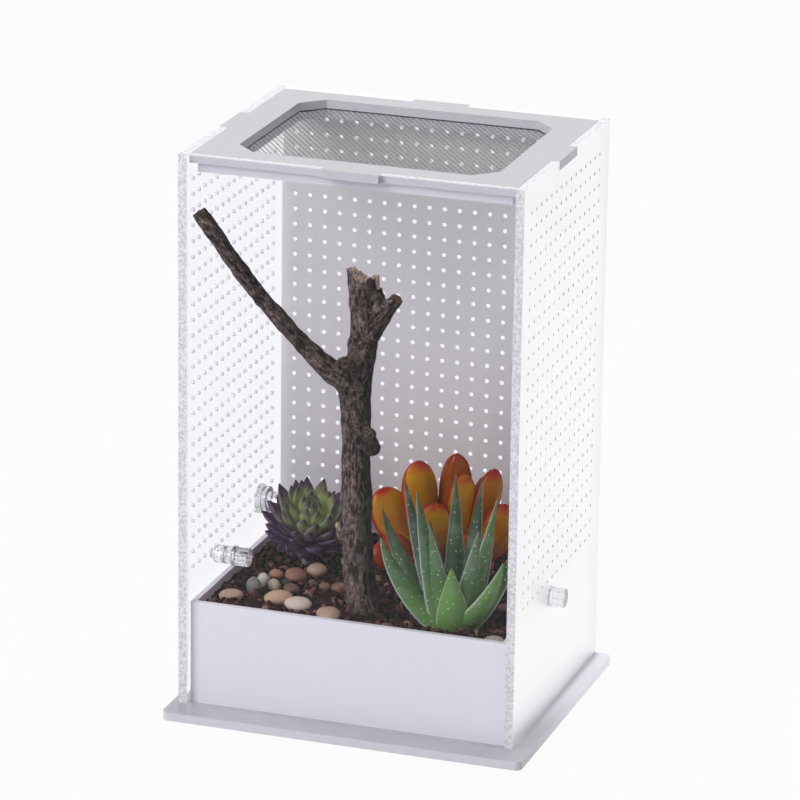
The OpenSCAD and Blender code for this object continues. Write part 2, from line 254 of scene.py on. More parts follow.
def makeWorld(look):
    scene.world = bpy.data.worlds.new("studio")
    scene.world.use_nodes = True
    scene.world.node_tree.nodes.clear()
    add = partial(addNode, scene.world.node_tree)
    light = add("Background", {"Color": linear(look["worldTint"]), "Strength": look["worldLight"]})
    white = add("Background", {"Color": linear("#FFFFFF"), "Strength": 1})
    mix = add("MixShader", (rayIs(add, look["lookingRays"]), light, white))
    add("OutputWorld", {"Surface": mix})


def makeFlat(name, corners, z, material):
    mesh = bpy.data.meshes.new(name)
    mesh.from_pydata([(x, y, z) for x, y in corners], [], [tuple(range(len(corners)))])
    mesh.materials.append(material)
    flat = newObject(name, mesh)
    return flat


def sweepPaper(add, place, look):  # matt white paper that keeps the object's soft shadow
    share = add("Math", (rayIs(add, look["lookingRays"]), look["floorWhite"]), operation="MULTIPLY")
    paper = add("BsdfDiffuse", {"Color": linear(look["floorColour"])})
    white = add("Emission", {"Color": linear("#FFFFFF"), "Strength": 1})
    return add("MixShader", (share, paper, white))


def plainGlow(add, place, strength):
    return add("Emission", {"Strength": strength})


def mirroredFlat(name, corners, strength):  # seen in reflections and nowhere else
    flat = makeFlat(name, corners, studio["lift"], makeMaterial(name, plainGlow, strength))
    flat.visible_camera = flat.visible_diffuse = flat.visible_transmission = False
    flat.visible_shadow = flat.visible_volume_scatter = False


def makeStudio(look):
    makeWorld(look)
    makeFlat("floor", look["floorCorners"], 0, makeMaterial("sweepPaper", sweepPaper, look))
    mirroredFlat("dimRoom", look["tableEdge"] + look["farSide"], look["dimRoom"])
    mirroredFlat("brightSweep", look["sweep"], look["sweepGlow"])
    for number, (place, size, watts) in enumerate(look["lamps"]):
        lamp = bpy.data.lights.new("softLamp%d" % number, "AREA")
        lamp.size, lamp.energy = size, watts
        holder = newObject(lamp.name, lamp)
        holder.location = place
        back = Vector(place) - Vector(look["lampsAimAt"])
        holder.rotation_euler = back.to_track_quat("Z", "Y").to_euler()
        holder.visible_camera = False


makeStudio(studio)
print("studio lit")

acrylic = {
    "ior": 1.49,
    "tint": "#FEFEFF",  # of the clear sheets
    "sheets": {  # finish, axis square to the faces, reflections, roughness, glued ends
        "left_wall": ("clearAcrylicLeftWall", "X", 0.1, 0.05, False),
        "right_wall": ("scuffedAcrylicRightWall", "X", 3.4, 0.4, False),  # hides the inside from the front
        "front_panel": ("clearAcrylicPanel", "Y", 0.28, 0.05, True),
    },
    "wipingMm": 45,
    "sawn": ["#D9D8DE", "#F6F5FA"],  # sawn edges and drilled holes of the clear sheets: dull frosted colour, with lighter speckles painted as sparkle
    "sawnMm": 1.5,
    "paintedHoleGlow": 0.15,  # painted glow in the sawn faces near the middle, where the holes are drilled
    "drilledTo": 0.0775,  # the holes of the side walls lie nearer than this to their middle line
    "mirrorsAll": 0.98,  # share of reflection past which the slanting light is trapped inside
    "turnsInside": 2.5,  # past this many reflections light passes straight out of a sheet
    "glued": -0.9,  # faces turned down more than this stand on the base plate
    "fitting": "#FAFAFC",
    "rippleMm": 1.8,
}


def facing(add, axis):  # how far the surface faces along the axis, from -1 to 1
    normal = add("SeparateXYZ", (add("TexCoord").outputs["Normal"],))
    return normal.outputs[axis]


def offAxis(add, axis):  # 1 on edges and in holes, 0 on the faces square to the axis
    size = add("Math", (facing(add, axis),), operation="ABSOLUTE")
    return add("Math", (size, 0.5), operation="LESS_THAN")


def bumpySkin(add, colour, height, strength, deepMm, sockets):
    bumps = add("Bump", {"Height": height, "Strength": strength, "Distance": deepMm * mm})
    return add("BsdfPrincipled", {"Base Color": colour, "Normal": bumps, **sockets})


def clearSheet(add, place, thinAxis, mirrorShare, polish, gluedEnds):
    # cast clear acrylic: see-through polished faces that mirror more at a slant and carry faint wiping marks,
    # with pale frosted edges and holes where saw and drill broke the polish, with painted sparkle and a
    # painted glow, and clear glued joints
    ior, tint = acrylic["ior"], linear(acrylic["tint"])
    wiping = add("TexNoise", {"Vector": place, "Scale": 1 / (acrylic["wipingMm"] * mm), "Detail": 4})
    rough = add("MapRange", {"Value": wiping, "From Min": 0.35, "From Max": 0.75,
                             "To Min": polish * 0.8, "To Max": polish})
    slant = add("Fresnel", {"IOR": ior})
    share = add("Math", (slant, mirrorShare), operation="MULTIPLY")
    trapped = add("Math", (slant, acrylic["mirrorsAll"]), operation="GREATER_THAN")
    share = add("Math", (share, trapped), operation="MAXIMUM", use_clamp=True)
    bent = add("BsdfRefraction", {"Color": tint, "Roughness": 0, "IOR": ior})
    mirror = add("BsdfGlossy", {"Color": linear("#FFFFFF"), "Roughness": rough})
    glass = add("MixShader", (share, bent, mirror))
    turned = add("LightPath").outputs["Glossy Depth"]
    spent = add("Math", (turned, acrylic["turnsInside"]), operation="GREATER_THAN")
    passing = add("Math", (rayIs(add, studio["lightRays"]), spent), operation="MAXIMUM")
    through = add("BsdfTransparent", {"Color": tint})
    polished = add("MixShader", (passing, glass, through))
    marks = add("TexNoise", {"Vector": place, "Scale": 1 / (acrylic["sawnMm"] * mm), "Detail": 3})
    # lighter speckles painted on the frosted colour as sparkle
    paintedSparkle = add("ValToRGB", {"Fac": marks}, ((0.4, 0.6), acrylic["sawn"]))
    # painted glow: the sawn faces inside drilledTo give off light in their own colour
    deep = add("Math", (add("SeparateXYZ", (place,)).outputs["Y"],), operation="ABSOLUTE")
    drilled = add("Math", (deep, acrylic["drilledTo"]), operation="LESS_THAN")
    glow = add("Mix", {0: drilled, 6: (0, 0, 0, 1), 7: paintedSparkle}, data_type="RGBA")
    sockets = {"Roughness": 0.5, "IOR": ior, "Emission Color": glow,
               "Emission Strength": acrylic["paintedHoleGlow"]}
    sawn = bumpySkin(add, paintedSparkle, marks, 0.5, 0.1, sockets)
    mix = add("MixShader", (offAxis(add, thinAxis), polished, sawn))
    glued = add("Math", (facing(add, "Z"), acrylic["glued"]), operation="LESS_THAN")
    if gluedEnds:
        end = add("Math", (facing(add, "X"),), operation="ABSOLUTE")
        glued = add("Math", (end, glued), operation="MAXIMUM")
    return add("MixShader", (glued, mix, add("BsdfTransparent")))


def clearMoulding(add, place, code):
    # clear acrylic moulded into knobs: a bent view and sharp lights, broken up by ripples, with a little haze
    ripple = add("TexNoise", {"Vector": place, "Scale": 1 / (acrylic["rippleMm"] * mm)})
    rough = add("MapRange", {"Value": ripple, "To Min": 0.03, "To Max": 0.12})
    sockets = {"Roughness": rough, "IOR": acrylic["ior"], "Transmission Weight": 0.93}
    glass = bumpySkin(add, linear(code), ripple, 0.7, 0.5, sockets)
    through = add("BsdfTransparent", {"Color": linear(code)})
    return add("MixShader", (rayIs(add, studio["lightRays"]), glass, through))


tray = ("tray_floor", "tray_front", "tray_back", "tray_left_side", "tray_right_side")
pale = {
    "cloudMm": 60,
    "waveMm": 25,
    "sheets": {  # finish, face, edge, axis square to the faces, roughness, painted glow of cut edges
        ("back_wall",): ("paleBackAcrylic", "#EBE8E9", "#F6F4F8", "Y", 0.3, 0.22),  # painted glow in its holes and on its cut edges
        tray: ("whiteTrayAcrylic", "#F5F3FB", "#F5F3FB", "Z", 0.28),
        ("base_plate",): ("satinBaseAcrylic", "#C9C6CE", "#DFDDE5", "Z", 0.12, 0.28,
                          ((0.099, 0.105), (-0.08, 0.03))),  # where a paler, glowing rim is painted as light coming up through the plate, in x and in y
        ("lid_plate",): ("satinLidAcrylic", "#CFCFD6", "#D2D1D9", "Z", 0.2),
        # the retainer's cut edges get a faint painted glow
        ("lid_retainer",): ("satinRetainerAcrylic", "#B4B2BA", "#D6D4DC", "Z", 0.25, 0.07),
    },
    "rim": "#F2F1F6",  # painted light on the base plate's rim, as if it came up through the plate
}


def paleSheet(add, place, face, edge, thinAxis, rough, paintedEdgeGlow=0, rim=None):
    # cast pale acrylic: even and glossy with a slow unevenness, and brighter where edges and holes are cut,
    # by a paler colour and a painted glow; a rim can be painted paler and glowing as light
    cloud = add("TexNoise", {"Vector": place, "Scale": 1 / (pale["cloudMm"] * mm)})
    shade = add("MapRange", {"Value": cloud, "To Min": 0.96, "To Max": 1.02})
    body = add("VectorMath", {0: linear(face)[:3], "Scale": shade}, operation="SCALE")
    lit = offAxis(add, thinAxis)
    colour = add("Mix", {0: lit, 6: body, 7: linear(edge)}, data_type="RGBA")
    # painted light: the rim is mixed towards a paler colour, and the glow below moves onto it
    if rim:  # from the first to the second x, and likewise in y
        split = add("SeparateXYZ", (place,))
        across, deep = [add("MapRange", {"Value": split.outputs[axis], "From Min": a, "From Max": b},
                            interpolation_type="SMOOTHSTEP") for axis, (a, b) in zip("XY", rim)]
        lit = add("Math", (across, deep), operation="MULTIPLY")
        colour = add("Mix", {0: lit, 6: colour, 7: linear(pale["rim"])}, data_type="RGBA")
    wave = add("TexNoise", {"Vector": place, "Scale": 1 / (pale["waveMm"] * mm)})
    sockets = {"Roughness": rough, "IOR": acrylic["ior"]}
    # painted glow in the edge colour: on the cut faces, and on the rim instead where one is painted
    if paintedEdgeGlow:
        glow = add("Mix", {0: lit, 6: (0, 0, 0, 1), 7: linear(edge)}, data_type="RGBA")
        sockets.update({"Emission Color": glow, "Emission Strength": paintedEdgeGlow})
    return bumpySkin(add, colour, wave, 0.15, 0.1, sockets)


weave = {"pitchMm": 2.9, "wireMm": 0.4, "askew": 36, "wire": "#393638", "wireLit": "#807D80"}


def wovenWire(add, place, look):
    # plain-weave stainless wire laid askew, each wire over and under its neighbours, and drawn three to four
    # times as coarse as real so that it shows
    scale = 1 / (look["pitchMm"] * mm)
    askew = add("Mapping", {"Vector": place, "Rotation": (0, 0, -math.radians(look["askew"])),
                            "Scale": (scale, scale, scale)})
    split = add("SeparateXYZ", (askew,))
    wires, crests = [], []
    for axis, other in ("XY", "YX"):
        away = add("Math", (split.outputs[axis], 0.5), operation="PINGPONG")
        wire = add("Math", (away, look["wireMm"] / look["pitchMm"] / 2), operation="LESS_THAN")
        number = add("Math", (split.outputs[axis],), operation="ROUND")
        both = add("Math", (number, split.outputs[other]), operation="ADD")
        angle = add("Math", (both, math.pi), operation="MULTIPLY")
        crest = add("Math", (angle,), operation="COSINE")
        wires.append(wire)
        crests.append(add("Math", (crest, wire), operation="MULTIPLY"))
    wire = add("Math", tuple(wires), operation="MAXIMUM")
    over = add("Math", tuple(crests), operation="MAXIMUM")
    colour = add("Mix", {0: over, 6: linear(look["wire"]), 7: linear(look["wireLit"])}, data_type="RGBA")
    metal = add("BsdfPrincipled", {"Base Color": colour, "Metallic": 0.6, "Roughness": 0.4})
    return add("MixShader", (wire, add("BsdfTransparent"), metal))


def dress(names, material):  # carried-over parts keep their shape and get this finish
    for name in names:
        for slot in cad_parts[name].material_slots:
            slot.material = material


for name, (finish, *values) in acrylic["sheets"].items():
    dress([name], makeMaterial(finish, clearSheet, *values))
for names, (finish, *values) in pale["sheets"].items():
    dress(names, makeMaterial(finish, paleSheet, *values))
dress(["lid_mesh"], makeMaterial("wovenStainless", wovenWire, weave))
fittings = ["left_thumb_screw", "left_spacer", "left_nut", "right_thumb_screw", "right_nut", "port_plug",
            "port_collar"]
dress(fittings, makeMaterial("mouldedClearFitting", clearMoulding, acrylic["fitting"]))
print("sheets and fittings finished")

bed = {
    "stepMm": 0.85,
    "swell": (34, 1.6),  # width and height of the slow swells, mm
    "clods": (6.5, 3.0),
    "crumbs": (1.7, 0.45),
    "gapMm": 0.06,  # to the tray round it
    "marginMm": 3,
    "colours": ["#0F0808", "#291816", "#4A2D28", "#714B43"],
    "chips": 3000,
    "chipMm": (0.6, 1.9),  # half widths
    "chipStretch": (1.1, 3.0),
    "chipColours": ["#20120F", "#371F1F", "#51322C", "#6E483F", "#946C5F", "#140B0C"],
    "chipShares": [0.24, 0.24, 0.21, 0.15, 0.06, 0.10],
    "chipThin": (0.45, 0.85),  # width over length before the stretch
    "chipShake": 0.28,
    "chipSits": 0.35,  # height of its middle over the bed, as a share of its size
    "chipFinish": (1.2, 0.9, 0.12, 0.2, 0.35),  # grain mm, roughness, shine, grain depth mm, spread of colour
}


def bedHeight(x, y):  # height over the mean level: slow swells, clods with sharp dips, crumbs
    flat = np.stack([x, y, np.zeros_like(x)], axis=-1)
    clods = np.abs(layered(flat, bed["clods"][0], 3, 11)) - 0.25
    return (layered(flat, bed["swell"][0], 2, 3) * bed["swell"][1] + clods * bed["clods"][1]
            + layered(flat, bed["crumbs"][0], 2, 23) * bed["crumbs"][1])


def plant(piece, node=None):  # stays with the housing, and stands for the node, if one is given
    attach(piece, "housing")
    if node:
        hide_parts(node)


def dampCoir(add, place):
    # damp coir: matt crumbs from near black to red-brown
    crumbs = add("TexNoise", {"Vector": place, "Scale": 1 / (2.6 * mm), "Detail": 5, "Roughness": 0.7})
    colour = add("ValToRGB", {"Fac": crumbs}, ((0.32, 0.46, 0.6, 0.72), bed["colours"]))
    grain = add("TexNoise", {"Vector": place, "Scale": 1 / (0.9 * mm), "Detail": 3, "Roughness": 0.7})
    return bumpySkin(add, colour, grain, 0.8, 0.5, {"Roughness": 0.9, "Specular IOR Level": 0.12})


def makeBed():
    # a grid of heights on top, walls straight down from its edge, and a fan closing the bottom
    low, high = boxOf("substrate")
    soilTop = high[2]
    low, high = low + bed["gapMm"], high - bed["gapMm"]
    nx, ny = [int((high[i] - low[i]) / bed["stepMm"]) for i in (0, 1)]
    x, y = np.meshgrid(np.linspace(low[0], high[0], nx), np.linspace(low[1], high[1], ny))
    top = np.stack([x, y, soilTop + bedHeight(x, y)], axis=-1)
    index = np.arange(nx * ny).reshape(ny, nx)
    quads = np.stack([index[:-1, :-1], index[:-1, 1:], index[1:, 1:], index[1:, :-1]], -1).reshape(-1, 4)
    loop = np.concatenate([index[0, :-1], index[:-1, -1], index[-1, :0:-1], index[:0:-1, 0]])
    skirt = top.reshape(-1, 3)[loop].copy()
    skirt[:, 2] = low[2]
    lower = np.arange(len(loop)) + nx * ny
    sides = np.stack([loop, lower, np.roll(lower, -1), np.roll(loop, -1)], -1)
    fan = np.stack([np.roll(lower, -1), lower, np.full(len(loop), nx * ny + len(loop))], -1)
    verts = np.concatenate([top.reshape(-1, 3), skirt, [[0, 0, low[2]]]])
    piece = makePiece("coirBed", verts, [quads, sides, fan], makeMaterial("dampCoir", dampCoir))
    plant(piece, "substrate")
    return soilTop, low, high


soilTop, bedLow, bedHigh = makeBed()


def looseBits(add, place, grainMm, rough, shine, depthMm, spread):
    # loose bits, each in its own colour and with a fine grain: dull woody chips, or smooth waxy river stones
    grain = add("TexNoise", {"Vector": place, "Scale": 1 / (grainMm * mm), "Detail": 4, "Roughness": 0.65})
    shade = add("MapRange", {"Value": grain, "From Min": 0.3, "From Max": 0.7,
                             "To Min": 1 - spread, "To Max": 1 + spread})
    tone = add("Attribute", attribute_name="tone").outputs["Color"]
    colour = add("VectorMath", {0: tone, "Scale": shade}, operation="SCALE")
    return bumpySkin(add, colour, grain, 0.6, depthMm, {"Roughness": rough, "Specular IOR Level": shine})


def scatter(rng, count, margin):  # random places over the bed, clear of its edges
    return [rng.uniform(bedLow[i] + margin, bedHigh[i] - margin, count) for i in (0, 1)]


def makeLoose(name, shells, pose, codes, finish):
    # one piece of many posed shells, each in its own colour
    verts, quads, tris = shellMesh(*[posed(points, *pose) for points in shells])
    tones = np.repeat(np.array([linear(code) for code in codes]), len(verts) // len(codes), axis=0)
    return makePiece(name, verts, [quads, tris], finish, {"tone": tones})


def turns(rng, count):  # random turns as matrices, from unit quaternions
    w, x, y, z = unit(rng.normal(size=(count, 4))).T
    return np.stack([
        np.stack([1 - 2 * (y * y + z * z), 2 * (x * y - z * w), 2 * (x * z + y * w)], -1),
        np.stack([2 * (x * y + z * w), 1 - 2 * (x * x + z * z), 2 * (y * z - x * w)], -1),
        np.stack([2 * (x * z - y * w), 2 * (y * z + x * w), 1 - 2 * (x * x + y * y)], -1),
    ], axis=1)


pebbles = {
    "large": [  # x, y, radius, height, colour
        (-78, -52, 6.8, 6, "#C7A491"), (-69, -39, 5, 10, "#84807F"), (-68.5, -25, 3.6, 8, "#DAD6D2"),
        (-60, -30, 4.4, 7, "#B6A48E"), (-56, -20, 3.2, 4, "#3E3A3A"), (-66, -10, 4.4, 5.5, "#B48A6C"),
        (-54.5, -9, 7, 7, "#A0705C"), (-46, 3, 6, 7, "#C6A693"), (-50, -28, 4.4, 4.5, "#6E5347"),
        (-51, -47, 8, 7, "#CBA88C"), (-37.5, -52, 7.4, 6.5, "#DCC8BB"), (-32, 22, 5.6, 8, "#BDB5B1"),
        (-16, -60, 7.4, 6, "#BD9F88"), (-25, -17, 4.8, 5, "#86604F"), (-34, -18, 4, 4, "#8F6E5E"),
        (83, -64, 5.5, 4, "#B3A79D"), (20, -63, 4, 3, "#6B5850"),
    ],
    "sizes": ((1.0, 1.12), (0.78, 0.95), 0.58),  # length and width over radius, half height over height
    "rise": 0.46,  # share of its height that a stone's middle stands over the bed
    "dents": (1.9, 0.07),  # width in mm, and depth as a share of the radius
    "finish": (1.6, 0.5, 0.3, 0.06, 0.14),  # as the chips' finish
    "small": 110,
    "smallMm": (1.4, 3.4),
    "smallTall": 1.3,  # height over radius
    "smallRise": 0.4,  # height of its middle over the bed, as a share of the radius
    "smallColours": ["#6F534A", "#8B6C60", "#4A3634", "#A08676", "#5B4340", "#8A5F4D", "#97908A"],
}


def makeChips():
    # each chip is a rough ball, shaken point by point, stretched along one axis and turned at random
    rng = np.random.default_rng(7)
    x, y = scatter(rng, bed["chips"], bed["marginMm"])
    size = rng.uniform(*bed["chipMm"], bed["chips"])
    stones = np.array([stone[:3] for stone in pebbles["large"]])
    clear = np.min(np.hypot(x[:, None] - stones[:, 0], y[:, None] - stones[:, 1]) - stones[:, 2], axis=1) > 1
    x, y, size = x[clear], y[clear], size[clear]
    n = len(x)
    centres = np.stack([x, y, soilTop + bedHeight(x, y) + size * bed["chipSits"]], -1)
    rings, poles = ball(3, 6)
    rings = rings * (1 + rng.uniform(-bed["chipShake"], bed["chipShake"], (n, *rings.shape[:2], 1)))
    poles = poles * np.ones((n, 1, 1))
    stretch = [np.ones(n), rng.uniform(*bed["chipThin"], n), rng.uniform(*bed["chipStretch"], n)]
    pose = size[:, None] * np.stack(stretch, -1), turns(rng, n), centres
    codes = rng.choice(bed["chipColours"], n, p=bed["chipShares"])
    finish = makeMaterial("coirChip", looseBits, *bed["chipFinish"])
    plant(makeLoose("coirChips", (rings, poles), pose, codes, finish))


makeChips()
print("coir bed laid")


def makePebbles():
    # worn stones: flattened balls with a few broad dents, resting level
    rng = np.random.default_rng(21)
    big = pebbles["large"]
    x, y, r, h = [np.array([stone[i] for stone in big], float) for i in range(4)]
    sx, sy = scatter(rng, pebbles["small"], bed["marginMm"] + 2)
    sr = rng.uniform(*pebbles["smallMm"], pebbles["small"])
    clear = np.min(np.hypot(sx[:, None] - x, sy[:, None] - y) - r - sr[:, None], axis=1) > 0
    sx, sy, sr = sx[clear], sy[clear], sr[clear]
    lift = np.concatenate([h * pebbles["rise"], bedHeight(sx, sy) + sr * pebbles["smallRise"]])
    sh = sr * pebbles["smallTall"]
    x, y, r, h = [np.concatenate(pair) for pair in ((x, sx), (y, sy), (r, sr), (h, sh))]
    codes = [stone[4] for stone in big] + list(rng.choice(pebbles["smallColours"], len(sr)))
    count = len(x)
    spot = rng.uniform(-50, 50, (count, 1, 1, 3))
    width, depth = pebbles["dents"]
    shells = [part * (1 + depth * layered(part + where, width, 2, 41)[..., None])
              for part, where in zip(ball(13, 20), (spot, spot[:, 0]))]
    longer, wider, taller = pebbles["sizes"]
    scale = np.stack([r * rng.uniform(*longer, count), r * rng.uniform(*wider, count), h * taller], -1)
    angle = rng.uniform(0, math.pi, count)
    turn = np.zeros((count, 3, 3))
    turn[:, 0, 0] = turn[:, 1, 1] = np.cos(angle)
    turn[:, 0, 1], turn[:, 1, 0], turn[:, 2, 2] = -np.sin(angle), np.sin(angle), 1
    pose = scale, turn, np.stack([x, y, soilTop + lift], -1)
    finish = makeMaterial("wornRiverStone", looseBits, *pebbles["finish"])
    plant(makeLoose("riverPebbles", shells, pose, codes, finish), "pebbles")


makePebbles()
print("pebbles placed")

wood = {
    # points of each limb: x, y, height over the bed, radius
    "trunk": [(1, -45, -6, 10.2), (1, -45, 2, 9.8), (-2.5, -45, 18, 8.9), (-4.6, -45, 42, 8.6),
              (-5.4, -45, 66, 8.7), (-6, -45, 90, 8.3), (-6, -45, 112, 8.6), (-8, -45.5, 142, 9.6)],
    "left": [(-8, -45.5, 138, 8), (-17, -47, 141, 6.8), (-25.2, -49.5, 147.7, 5.8), (-35.3, -53, 158.8, 5.0),
             (-49.5, -57.5, 175.2, 4.5), (-66.8, -62, 196.8, 4.4), (-80.9, -67, 218.9, 4.4),
             (-90.9, -70, 233.8, 4.3)],
    "right": [(-7, -45, 138, 8.6), (-3.5, -45, 152, 8), (-2, -45, 168, 7.8), (-3, -45, 192, 8.5),
              (-3.2, -45, 205, 8.9)],
    "stub": [(-1, -45, 162, 6.2), (8, -45, 177, 5.6), (13.5, -45, 184, 4.3), (17.6, -45, 188.8, 3.6)],
    "lumps": [  # place, width and height from the middle
        ((4, -47, 101), 5.2, 5.6), ((3, -48, 108), 4, 4.4), ((-12, -48, 48), 4.4, 5.6),
        ((-14.2, -48.6, 52), 2.6, 3.2), ((-8, -46, 138), 10.4, 11), ((-2, -47, 160), 8.6, 9),
        ((-11, -47, 145), 8, 7), ((5.5, -46, 176), 5.5, 6), ((5.5, -45.5, 186), 4.6, 9),
    ],
    "bud": ((-16.4, -50.4, 53), (1.4, 3.0)),  # place, and the radii between which its pale tip fades
    "tornEdge": [(-13, 201), (-10.5, 203.5), (-9, 203), (-7, 199.8), (-3, 198), (1, 198.4), (4.2, 200),
                 (5.4, 199), (6, 194), (8, 192)],  # x and height of the broken top
    "tornSlope": 0.2,  # how fast it falls towards the back
    "tornFrom": 180,
    "spikes": (1.5, 1.7),
    "sliceMm": 1.2,
    "voxelMm": 0.62,
    "barkMm": 0.4,
    "furrowMm": 2.1,
    "furrowStretch": 0.3,  # how much shorter the bark is laid flat than it is long
    "sway": (22, 0.55),  # width and depth in mm of the limbs' slow unevenness
    "dents": (4.6, 0.32),
    "sawMarks": (2.2, 0.4),
    "barkShares": (0.22, 0.4, 0.38),  # of the ridges, the fine furrows and the specks in the bark's height
    "colours": ["#120B0A", "#3A2E2C", "#70605B", "#AC9A92"],
    "sawn": ["#33211C", "#7C574A"],
    "torn": ["#6B5248", "#D9C4B6"],
    "budTip": "#B5A98A",
    "paintedShade": (0.86, 0.2, -0.3),  # the side painted darker as shade, and how dark
    "paintedShadeShare": 0.76,
    # painted shade at forks and knots: how dark, then each spot's place and reach
    "paintedSpotShare": 0.8,
    "paintedShadeSpots": [((6, -50, 103), 9), ((-3, -54, 147), 9), ((-10, -53, 134), 6), ((11, -50, 171), 6)],
}


def smoothPath(points, steps):  # Catmull-Rom curve through the points, each with a radius
    p = np.array(points, float)
    p = np.concatenate([[2 * p[0] - p[1]], p, [2 * p[-1] - p[-2]]])
    t = np.linspace(0, 1, steps, endpoint=False)[:, None]
    spans = []
    for a, b, c, d in zip(p, p[1:], p[2:], p[3:]):
        spans.append(0.5 * (2 * b + (c - a) * t + (2 * a - 5 * b + 4 * c - d) * t ** 2
                            + (3 * b - a - 3 * c + d) * t ** 3))
    return np.concatenate(spans + [p[-2:-1]])


def squareTo(along):  # a direction square to the limb, steady along it
    return unit(np.cross(along, np.array([0.1, 1, 0.05])))


def limbShell(points, cols=28):  # circles of the path's radius, square to the path, closed flat at both ends
    path = smoothPath(points, 10)
    centre, radius = path[:, :3], path[:, 3]
    along = unit(np.gradient(centre, axis=0))
    side = squareTo(along)
    other = np.cross(along, side)
    u = np.arange(cols) / cols * 2 * math.pi
    circle = side[:, None] * np.cos(u)[None, :, None] + other[:, None] * np.sin(u)[None, :, None]
    rings = centre[:, None] + circle * radius[:, None, None]
    return rings[None], centre[[0, -1]][None]


def lumpShell(centre, across, down):
    rings, poles = ball(11, 20)
    size = np.array([across, across, down])
    return (rings * size + centre)[None], (poles * size + centre)[None]


def joinShells(shells):
    verts, faces, start = [], [], 0
    for rings, poles in shells:
        v, quads, tris = shellMesh(rings, poles)
        verts.append(v)
        faces += [quads + start, tris + start]
        start += len(v)
    return np.concatenate(verts), faces


def nearestLimb(points, paths):
    # for each point: the number of the limb line nearest to it, how far along it lies, its turn and distance
    best = np.full(len(points), np.inf)
    limb, along, turn = np.zeros(len(points)), np.zeros(len(points)), np.zeros(len(points))
    for number, path in enumerate(paths):
        line = smoothPath(path, 6)[:, :3]
        walked = 0
        for a, b in zip(line[:-1], line[1:]):
            length = np.linalg.norm(b - a)
            d = (b - a) / length
            t = np.clip((points - a) @ d, 0, length)
            off = points - a - t[:, None] * d
            dist = np.linalg.norm(off, axis=1)
            near = dist < best
            side = squareTo(d)
            best[near], limb[near], along[near] = dist[near], number, (walked + t)[near]
            turn[near] = np.arctan2(off @ np.cross(d, side), off @ side)[near]
            walked += length
    return limb, along, turn, best


def dryBark(add, place):
    # dry bark: fine furrows along the limb, grey-brown ridges and near-black cracks, dull all over; shade
    # painted darker on one side and in a few spots; brown sawn ends, pale torn fibres and one pale bud
    relief, sawn, torn, bud, paintedShade = [add("Attribute", attribute_name=key).outputs["Fac"]
                                     for key in ("relief", "sawn", "torn", "bud", "paintedShade")]
    unrolled = add("Attribute", attribute_name="unrolled").outputs["Vector"]
    fine = add("TexNoise", {"Vector": unrolled, "Scale": 1 / 1.1, "Detail": 4, "Roughness": 0.7})
    specks = add("TexNoise", {"Vector": place, "Scale": 1 / (1.3 * mm), "Detail": 3, "Roughness": 0.7})
    height = 0.02
    for source, share in zip((relief, fine, specks), wood["barkShares"]):
        height = add("Math", (source, share, height), operation="MULTIPLY_ADD")
    # the low end of the ramp darkens the furrows and cracks nearly to black: their own darker colour,
    # deepened by painted shade
    colour = add("ValToRGB", {"Fac": height}, ((0.37, 0.47, 0.57, 0.7), wood["colours"]))
    patch = add("TexNoise", {"Vector": place, "Scale": 1 / (17 * mm), "Detail": 3})
    shade = add("MapRange", {"Value": patch, "From Min": 0.3, "From Max": 0.7, "To Min": 0.78, "To Max": 1.2})
    # painted shade: darker on the shaded side and round the spots
    unshaded = add("Math", (1, paintedShade), operation="SUBTRACT")
    shade = add("Math", (shade, unshaded), operation="MULTIPLY")
    colour = add("VectorMath", {0: colour, "Scale": shade}, operation="SCALE")
    for share, source, codes in ((sawn, specks, wood["sawn"]), (torn, fine, wood["torn"])):
        raw = add("ValToRGB", {"Fac": source}, ((0.35, 0.65), codes))
        colour = add("Mix", {0: share, 6: colour, 7: raw}, data_type="RGBA")
    colour = add("Mix", {0: bud, 6: colour, 7: linear(wood["budTip"])}, data_type="RGBA")
    return bumpySkin(add, colour, height, 0.9, 0.6, {"Roughness": 0.85, "Specular IOR Level": 0.15})


def lifted(points):  # heights over the bed to heights over the floor
    return [(p[0], p[1], p[2] + soilTop) + tuple(p[3:]) for p in points]


def skinOf(name, verts, faces, material):  # one closed skin round overlapping shells, in small even squares
    block = makePiece(name, verts, faces, material)
    remesh = block.modifiers.new("skin", "REMESH")
    remesh.mode, remesh.voxel_size, remesh.adaptivity = "VOXEL", wood["voxelMm"] * mm, 0
    smooth = block.modifiers.new("soften", "SMOOTH")
    smooth.factor, smooth.iterations = 0.5, 4
    skin = bpy.data.meshes.new_from_object(block.evaluated_get(bpy.context.evaluated_depsgraph_get()))
    old = block.data
    bpy.data.objects.remove(block)
    bpy.data.meshes.remove(old)
    return skin


